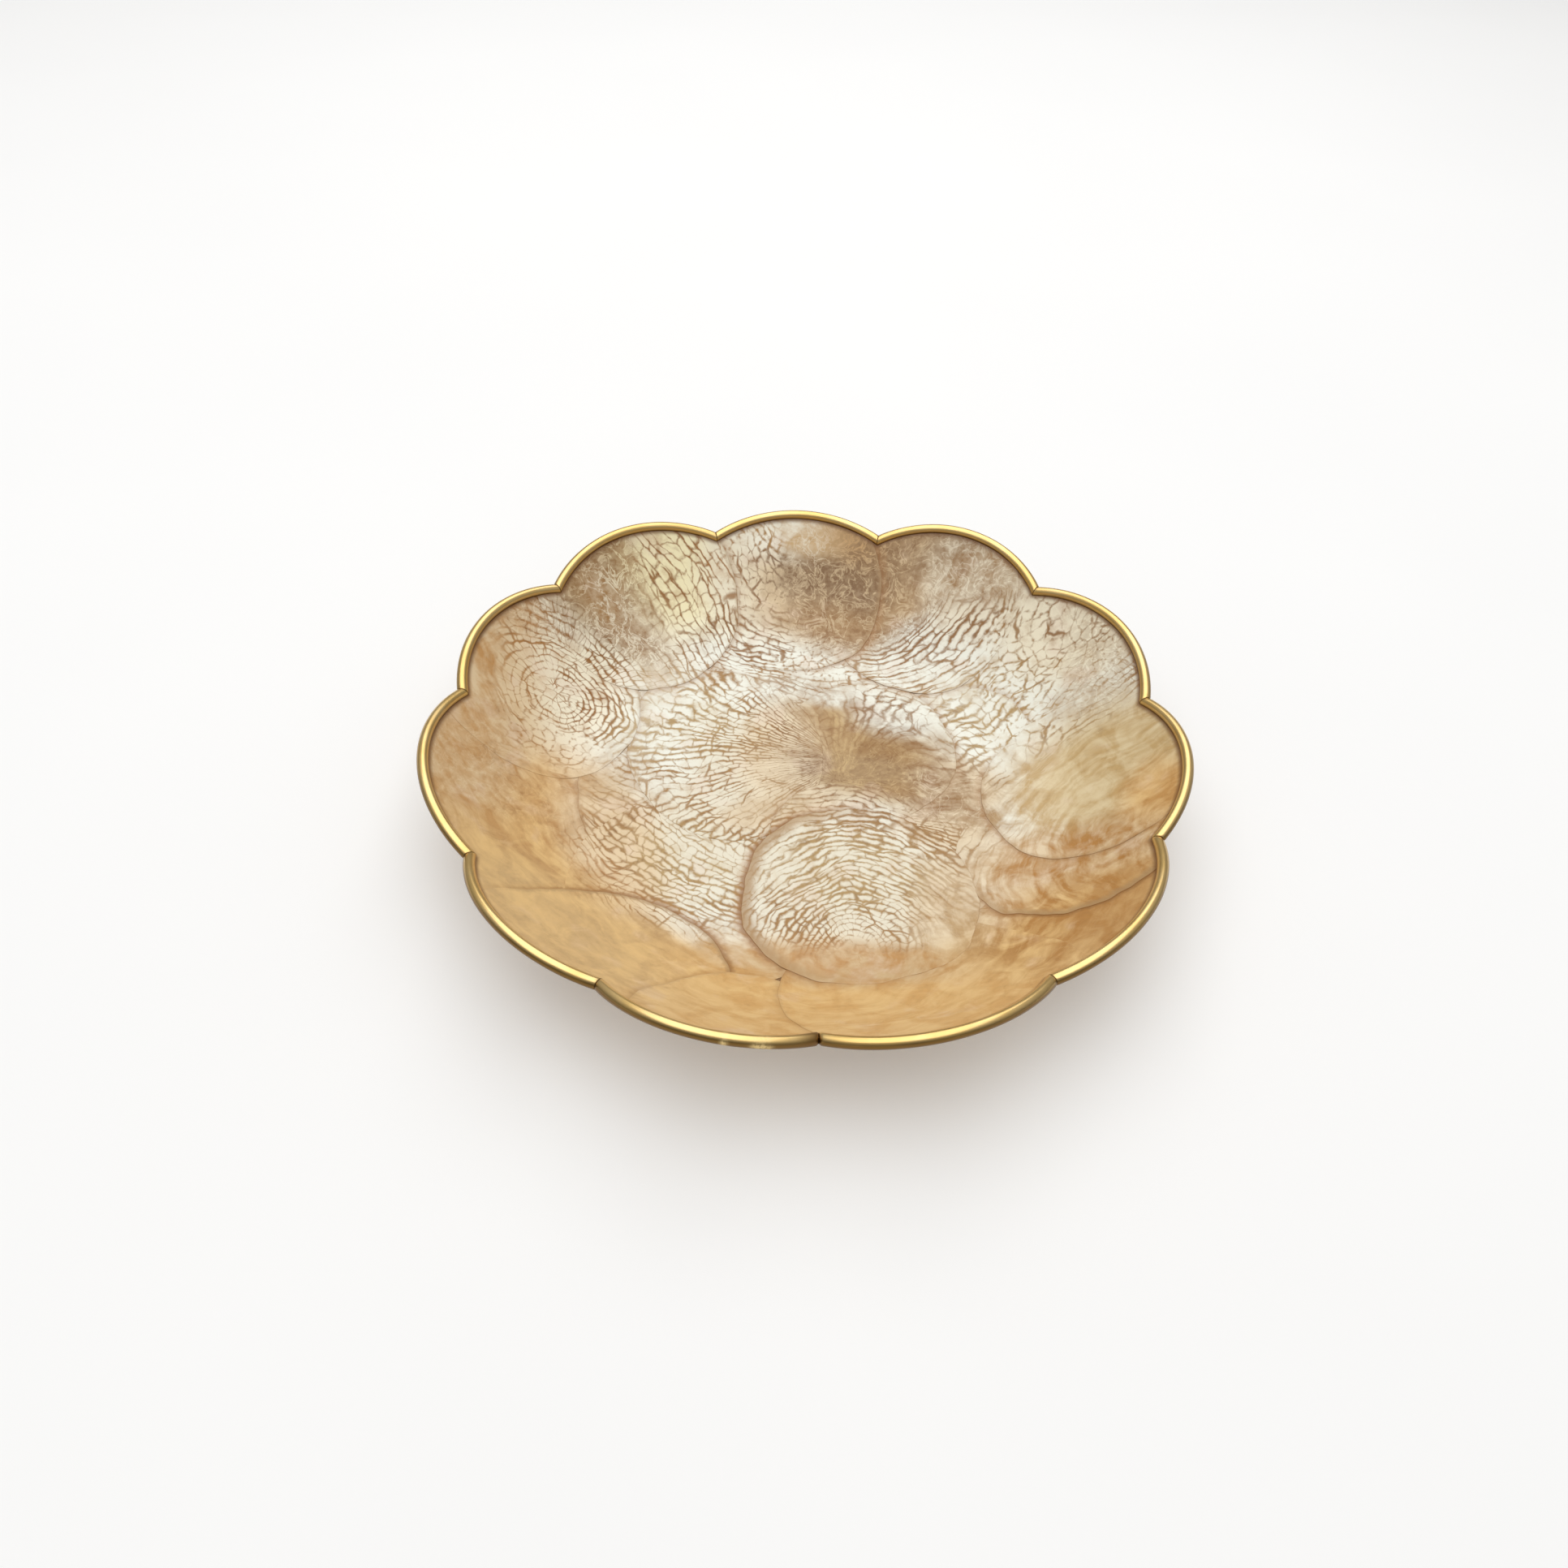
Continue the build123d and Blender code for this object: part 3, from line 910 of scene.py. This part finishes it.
    def bump(self, height, distance_mm, strength=1.0, normal=None):
        """Surface relief this deep."""
        node = self.node("Bump")
        node.inputs["Strength"].default_value = strength
        node.inputs["Distance"].default_value = distance_mm * MM
        self.put(node.inputs["Height"], height)
        self.put(node.inputs["Normal"], normal)
        return node.outputs[0]

    def surface(self, **inputs):
        """The finished surface."""
        node = self.node("BsdfPrincipled")
        for name, value in inputs.items():
            self.put(node.inputs[name.replace("_", " ")], value)
        self.tree.links.new(node.outputs[0], self.output.inputs[0])
        return self.material


BLUSH = linear(228, 204, 184)
EDGE_LINE = linear(124, 82, 36)
# The seam line's colour also paints the shadow beside an overlying disc's edge
SEAM_LINE_AND_SHADOW = linear(144, 98, 46)
SEAM_STAIN = linear(172, 120, 60)
CRACK_DEPTH = (0.74, 0.62, 0.41)  # the ground is multiplied by this in the cracks
BLOCK_WIDTH = 4.4
RESIN_DEEP, RESIN_CLEAR = (0.16, 0.075, 0.028), (0.30, 0.16, 0.06)
BRASS = (0.72, 0.47, 0.17)
DISH_CLOUD, FOOT_CLOUD = (0.52, 0.31, 0.10), (0.48, 0.29, 0.10)
# The last of these golds is for the lighter spots beside the front joint
GOLD, GOLD_DEEP, GOLD_LIGHT_SPOT = (0.84, 0.60, 0.26), (0.76, 0.51, 0.18), (0.88, 0.66, 0.30)
# Painted shade for the bead's lower, outer side; then brown for its joints, which also paints shade at the
# front joint's end
BEAD_PAINTED_SHADE, BEAD_JOINT_AND_SHADE = (0.16, 0.080, 0.012), (0.20, 0.10, 0.025)
FLOOR_TONES = [(0.72, 0.72, 0.716), (0.745, 0.745, 0.74)]
FLOOR_GLOW = 0.30


def masonry(s, growth, cell_length, row_height, zone):
    """How far inside its cell each point lies, in mm: rows of long cells, cut across."""
    along, across = s.split(growth)
    sway = s.noise(s.join(s.times(across, 0.09), 0.0), 1.0, 2.0)
    across = s.plus(s.math("DIVIDE", across, row_height), s.times(sway, 1.6))
    row, part = s.math("FLOOR", across), s.math("FRACT", across)
    off_line = s.minus(0.5, s.math("ABSOLUTE", s.minus(part, 0.5)))
    off_line = s.times(off_line, row_height)
    along = s.math("DIVIDE", along, cell_length)
    lean = s.noise(s.join(s.times(along, 0.6), s.times(row, 5.3)), 1.0, 1.0)
    lean = s.times(s.minus(lean, 0.5), s.minus(part, 0.5))
    slanted = s.math("MULTIPLY_ADD", lean, 3.2, along)
    cut = s.cells(s.math("MULTIPLY_ADD", row, 7.31, slanted), "DISTANCE_TO_EDGE", 0.9, "1D")
    off_cut = s.times(cut, cell_length)
    strand = s.noise(s.join(s.times(along, 0.45), s.times(s.math("ROUND", across), 3.7)), 1.0, 2.0)
    line_width = s.plus(zone, s.ramp(strand, 0.36, 0.62, -0.24, 0.20))
    cut_width = s.math("MULTIPLY_ADD", zone, 0.8, -0.15)
    return s.math("SMOOTH_MIN", s.minus(off_line, line_width), s.minus(off_cut, cut_width), 1.5)


def blocks(s, place, zone):
    """How far inside its cell each point lies, in mm, where the cells are many-sided."""
    gap = s.cells(s.scaled(place, (1 / BLOCK_WIDTH, 1 / BLOCK_WIDTH, 0)), "DISTANCE_TO_EDGE", 0.85)
    return s.minus(s.times(gap, BLOCK_WIDTH), s.math("MULTIPLY_ADD", zone, 0.8, -0.1))


def shell_material(disc, number):
    """Windowpane-oyster shell under lacquer: pale cells between brown cracks on tan."""
    s = Shader(disc.name)
    place = s.place()
    own_place = s.vector("ADD", place, (61.0 * number, 0, 0))
    shifted = s.vector("ADD", s.growth(), (37.0 * number, 53.0 * number, 0))
    pearl, dull, dark = s.attribute("pearl"), s.attribute("dull"), s.attribute("dark")

    # The growth coordinates, pushed about so that no row runs true
    grown = shifted
    for scale, detail, reach_x, reach_y in ((0.022, 1.0, 22, 20), (0.11, 1.5, 4.5, 4.6),
                                            (0.42, 1.0, 1.1, 1.0)):
        push = s.noise(own_place, scale, detail, output="Color")
        push = s.vector("SUBTRACT", push, (0.5, 0.5, 0.5))
        grown = s.vector("ADD", grown, s.scaled(push, (reach_x, reach_y, 0)))

    # Cells between cracks, closed up in some zones and parted in others
    zones = s.noise(own_place, 0.05, 3.0, 0.6)
    zone = s.ramp(zones, 0.34, 0.66, -0.20, 0.30)
    rows = masonry(s, grown, disc.cell_length, disc.row_height, zone)
    pushed = s.vector("ADD", place, s.vector("SUBTRACT", grown, shifted))
    inside = s.number_mix(s.attribute("block"), rows, blocks(s, pushed, zone))
    frayed = s.noise(own_place, 0.40, 3.0, 0.6)
    inside = s.plus(inside, s.times(s.minus(frayed, 0.5), 1.3))
    cell = s.ramp(inside, -0.25, 0.72)
    big_gap = s.cells(s.scaled(grown, (1 / 24.0, 1 / 14.0, 0)), "DISTANCE_TO_EDGE", 1.0)
    torn = s.noise(own_place, 0.09, 1.0)
    cell = s.times(cell, s.ramp(big_gap, 0.008, 0.045, s.ramp(torn, 0.45, 0.6, 1, 0.1), 1))

    # Plain shell is only streaked; clouded and dark resin is mottled
    patchy = s.noise(own_place, 0.045, 4.0, 0.6)
    soft_streaks = s.noise(s.scaled(grown, (1 / 30.0, 1 / 5.0, 1)), 1.0, 4.0, 0.6)
    mottle = s.noise(place, 0.32, 6.0, 0.68)
    stains = s.noise(own_place, 0.075, 4.0, 0.58, 0.8)
    streaked = s.plus(s.ramp(soft_streaks, 0.68, 0.36, 0.15, 0.75),
                      s.ramp(stains, 0.36, 0.66, 0.30, -0.40), clamp=True)
    # Where the cells show is partly painted sheen, set by the pearl patches; elsewhere plain streaky shell
    shown = s.plus(s.math("MULTIPLY_ADD", pearl, 1.25, -0.15), s.ramp(patchy, 0.3, 0.7, -0.15, 0.15))
    shown = s.minus(shown, dull, clamp=True)
    tone = s.number_mix(shown, streaked, cell)
    winding = s.noise(place, 0.125, 3.0, 0.6, 1.3)
    worms = s.ramp(s.math("ABSOLUTE", s.minus(winding, 0.5)), 0.0, 0.055, 0.72, 0.0)
    curdled = s.plus(worms, s.ramp(mottle, 0.38, 0.64, 0.36, 0.0), clamp=True)
    tone = s.number_mix(dark, tone, curdled)

    # The pale cells over the resin, each with soft clouding of its own
    hue = s.noise(place, 0.06, 2.0)
    resin = s.attribute("ground", "Color")
    pale = s.mix(s.ramp(hue, 0.56, 0.70, 0, 0.30), s.attribute("pale", "Color"), BLUSH)
    veil = s.noise(own_place, 0.12, 4.0, 0.65)
    pale = s.mix(s.ramp(veil, 0.45, 0.72, 0.0, 0.40), pale, resin)
    speckle = s.ramp(mottle, 0.44, 0.68, 0.03, 0.40)
    speckle = s.times(speckle, s.ramp(shown, 0.0, 0.4, 0.4, 1.0))
    ground = s.mix(speckle, resin, EDGE_LINE)
    ground = s.mix(shown, ground, s.mix(1.0, ground, CRACK_DEPTH, "MULTIPLY"))
    colour = s.mix(tone, ground, pale)

    # The disc's own edge, the resin line and painted shadow where the next disc lies over it, and the rim
    edge, cover, rim = s.attribute("edge_mm"), s.attribute("cover_mm"), s.attribute("rim_mm")
    ragged = s.noise(place, 0.5, 3.0)
    ragged = s.times(s.minus(ragged, 0.5), 3.0)
    edge = s.plus(edge, ragged)
    near_edge = s.ramp(edge, disc.edge_width * 0.2, disc.edge_width, 0.9, 0.0)
    colour = s.mix(s.times(near_edge, s.attribute("edge_line")), colour, DUN)
    turned_edge = s.ramp(s.attribute("edge_mm"), 0.05, 0.40, 0.9, 0.0)
    colour = s.mix(s.times(turned_edge, s.attribute("edge_line")), colour, SEAM_LINE_AND_SHADOW)
    seam = s.attribute("cover_line")
    stained = s.ramp(s.math("MULTIPLY_ADD", ragged, 1.5, cover), 0.5, 5.0, 0.55, 0.0)
    colour = s.mix(s.times(stained, seam), colour, SEAM_STAIN)
    # Resin line and painted shadow: darker on this disc just beside the edge of the disc lying over it
    under = s.ramp(s.math("MULTIPLY_ADD", ragged, 0.7, cover), 0.0, 2.4, 0.80, 0.0)
    colour = s.mix(s.times(under, seam), colour, SEAM_LINE_AND_SHADOW)
    at_rim = s.ramp(rim, 2.2, 3.9, 0.85, 0.0)
    colour = s.mix(at_rim, colour, EDGE_LINE)

    relief = s.bump(tone, 0.05, 0.5)
    grain = s.noise(place, 1.6, 3.0)
    relief = s.bump(grain, 0.03, 0.35, relief)
    lacquer = s.noise(place, 0.10, 2.0)
    return s.surface(
        Base_Color=colour, Roughness=s.ramp(tone, 0, 1, 0.50, 0.36), Metallic=0.0,
        IOR=1.45, Normal=relief, Coat_Weight=0.22, Coat_Roughness=0.22, Coat_IOR=1.4,
        Coat_Normal=s.bump(lacquer, 0.25, 0.35),
    )


def resin_material():
    """Amber-brown resin under the shell."""
    s = Shader("resin")
    place = s.place()
    cloudy = s.noise(place, 0.08, 4.0, 0.6)
    specks = s.noise(place, 1.2, 3.0)
    colour = s.mix(s.ramp(cloudy, 0.35, 0.65), RESIN_DEEP, RESIN_CLEAR)
    return s.surface(Base_Color=colour, Roughness=s.ramp(specks, 0.3, 0.7, 0.2, 0.4),
                     Normal=s.bump(specks, 0.05, 0.4))


def brass_material(name, cloud, roughness, planish_mm, scratch_mm):
    """Brass: polish marks, faint planishing and a little darkening."""
    s = Shader(name)
    place = s.place()
    cloudy = s.noise(place, 0.045, 4.0, 0.6)
    fine = s.noise(place, 0.9, 4.0, 0.6)
    colour = s.mix(s.ramp(cloudy, 0.35, 0.68), BRASS, cloud)
    colour = s.mix(s.ramp(fine, 0.58, 0.75, 0, 0.25), colour, cloud)
    dents = s.cells(s.scaled(place, (1 / 7.0, 1 / 7.0, 1 / 7.0)), "SMOOTH_F1", 0.8, "3D")
    relief = s.bump(dents, planish_mm, 0.6)
    lines = s.noise(s.scaled(place, (0.4, 0.4, 6.0)), 1.0, 3.0, 0.7)
    relief = s.bump(lines, scratch_mm, 0.4, relief)
    rough = s.ramp(fine, 0.3, 0.7, *roughness)
    return s.surface(Base_Color=colour, Metallic=1.0, Roughness=rough, Normal=relief)


def bead_material():
    """Lacquered gold brass: painted shade beneath and at one lobe's end by the front joint, brown in the
    joints, lighter spots beside that joint.
    """
    s = Shader("bead_brass")
    place = s.place()
    cloudy = s.noise(place, 0.05, 3.0)
    fine = s.noise(place, 0.7, 3.0, 0.6)
    colour = s.mix(s.ramp(cloudy, 0.35, 0.65), GOLD, GOLD_DEEP)
    shade_facing_varied = s.math("MULTIPLY_ADD", s.minus(cloudy, 0.5), 0.5, s.attribute("upper"))
    # Painted shade: dark brown where the bead faces down and outward, away from the light
    painted_shade = s.ramp(shade_facing_varied, 0.82, 0.05, 0.0, 0.96)
    colour = s.mix(painted_shade, colour, BEAD_PAINTED_SHADE)
    # Brown in the joints, and painted shade where the bead curves down to the front joint
    joint = s.math("MAXIMUM", s.ramp(s.attribute("end_mm"), 0.05, 0.5, 0.9, 0.0),
                   s.attribute("tarnish"))
    colour = s.mix(joint, colour, BEAD_JOINT_AND_SHADE)
    # Lighter, rougher spots beside the front joint
    dressed = s.times(s.attribute("dressed"), s.ramp(fine, 0.35, 0.6, 0.3, 0.8))
    colour = s.mix(dressed, colour, GOLD_LIGHT_SPOT)
    rough = s.plus(s.ramp(fine, 0.3, 0.7, 0.28, 0.31), s.times(joint, 0.2))
    rough = s.plus(rough, s.times(dressed, 0.15))
    relief = s.bump(fine, 0.001, 0.3)
    return s.surface(Base_Color=colour, Metallic=1.0, Roughness=rough, Normal=relief,
                     Coat_Weight=0.2, Coat_Roughness=0.12, Coat_IOR=1.5)


# ---------------------------------------------------------------- building the bowl
discs = [Disc(name, DISC_SEED + number) for number, name in enumerate(DISCS)]
lifts = drape(discs)
for number, disc in enumerate(discs):
    material = shell_material(disc, number)
    shell_piece(disc, lifts[disc.name], discs[:number], material)

dish_layer("resin_layer", SHELL_THICKNESS, LINING, resin_material(), "resin_bed")
dish_brass = brass_material("dish_brass", DISH_CLOUD, roughness=(0.24, 0.38),
                            planish_mm=0.5, scratch_mm=0.03)
dish_layer("brass_dish", LINING, WALL_THICKNESS, dish_brass, "bowl_body")
foot_piece(brass_material("foot_brass", FOOT_CLOUD, roughness=(0.26, 0.42),
                          planish_mm=0.05, scratch_mm=0.05))
bead_brass = bead_material()
for lobe in range(LOBE_COUNT):
    bead_piece(lobe, bead_brass)


# ---------------------------------------------------------------- floor, light and camera
FLOOR_HALF = 6.0  # metres


def make_floor():
    """A plain pale floor, softly lit from below like a photographer's light table."""
    corners = [(-1, -1), (1, -1), (1, 1), (-1, 1)]
    mesh = bpy.data.meshes.new("floor")
    mesh.from_pydata([(x * FLOOR_HALF, y * FLOOR_HALF, 0) for x, y in corners], [], [(0, 1, 2, 3)])
    s = Shader("floor")
    faint = s.noise(s.place(), 0.004, 2.0)
    colour = s.mix(faint, *FLOOR_TONES)
    mesh.materials.append(s.surface(Base_Color=colour, Roughness=0.9,
                                    Emission_Color=colour, Emission_Strength=FLOOR_GLOW))
    new_object("floor", mesh)


def area_light(name, place, aim, size, power):
    """A softbox pointing at a spot: metres and watts."""
    data = bpy.data.lights.new(name, "AREA")
    data.shape = "RECTANGLE"
    data.size, data.size_y = size
    data.energy = power
    lamp = new_object(name, data)
    lamp.location = place
    lamp.rotation_euler = (Vector(aim) - Vector(place)).to_track_quat("-Z", "Y").to_euler()


SURROUND = (0.0, 0.75, 0.20, 0.50)  # from this height of view to that: strength from, to
SURROUND_TINT = (1.0, 0.99, 0.975, 1)


def make_lights():
    """A window behind the bowl, a soft overhead and a surround that darkens downward."""
    area_light("window", (0.05, 1.2, 1.25), (0, 0, 0.02), (1.4, 0.7), 5)
    area_light("overhead", (-0.15, 0.0, 2.2), (0, 0, 0.0), (2.8, 2.8), 35)
    world = bpy.data.worlds.new("surround")
    bpy.context.scene.world = world
    world.use_nodes = True
    nodes, links = world.node_tree.nodes, world.node_tree.links
    direction = nodes.new("ShaderNodeTexCoord")
    height = nodes.new("ShaderNodeSeparateXYZ")
    links.new(direction.outputs["Generated"], height.inputs[0])
    strength = nodes.new("ShaderNodeMapRange")
    links.new(height.outputs[2], strength.inputs[0])
    for socket, number in zip(strength.inputs[1:5], SURROUND):
        socket.default_value = number
    back = nodes["Background"]
    back.inputs[0].default_value = SURROUND_TINT
    links.new(strength.outputs[0], back.inputs[1])
    bpy.context.scene.view_settings.view_transform = "Standard"


# The camera's place is told from the middle of the rim: how high it stands, and how far off
CAMERA_ELEVATION = math.radians(43.44)
CAMERA_DISTANCE = 501.0
CAMERA_ROLL = math.radians(3.81)
CAMERA_PAN = math.radians(1.173)
CAMERA_TILT = math.radians(-2.855)
CAMERA_LENS = 28.68
SENSOR = 36.0


def turned(vector, axis, angle):
    """A vector turned about an axis."""
    return (vector * math.cos(angle) + np.cross(axis, vector) * math.sin(angle)
            + axis * (axis @ vector) * (1 - math.cos(angle)))


def make_camera():
    """The camera, rolled, then panned, then tilted."""
    back = np.array([0, -math.cos(CAMERA_ELEVATION), math.sin(CAMERA_ELEVATION)])
    place = np.array([0, 0, CREST_Z]) + back * CAMERA_DISTANCE
    right = np.array([1.0, 0, 0])
    up = np.cross(back, right)
    right, up = turned(right, back, CAMERA_ROLL), turned(up, back, CAMERA_ROLL)
    back, right = turned(back, up, CAMERA_PAN), turned(right, up, CAMERA_PAN)
    back, up = turned(back, right, CAMERA_TILT), turned(up, right, CAMERA_TILT)
    data = bpy.data.cameras.new("camera")
    data.lens = CAMERA_LENS
    data.sensor_width = SENSOR
    data.clip_start = 0.01
    camera = new_object("camera", data)
    rotation = np.column_stack([right, up, back]).tolist()
    matrix = [[*rotation[row], place[row] * MM] for row in range(3)] + [[0, 0, 0, 1]]
    camera.matrix_world = Matrix(matrix)
    bpy.context.scene.camera = camera


make_floor()
make_lights()
make_camera()
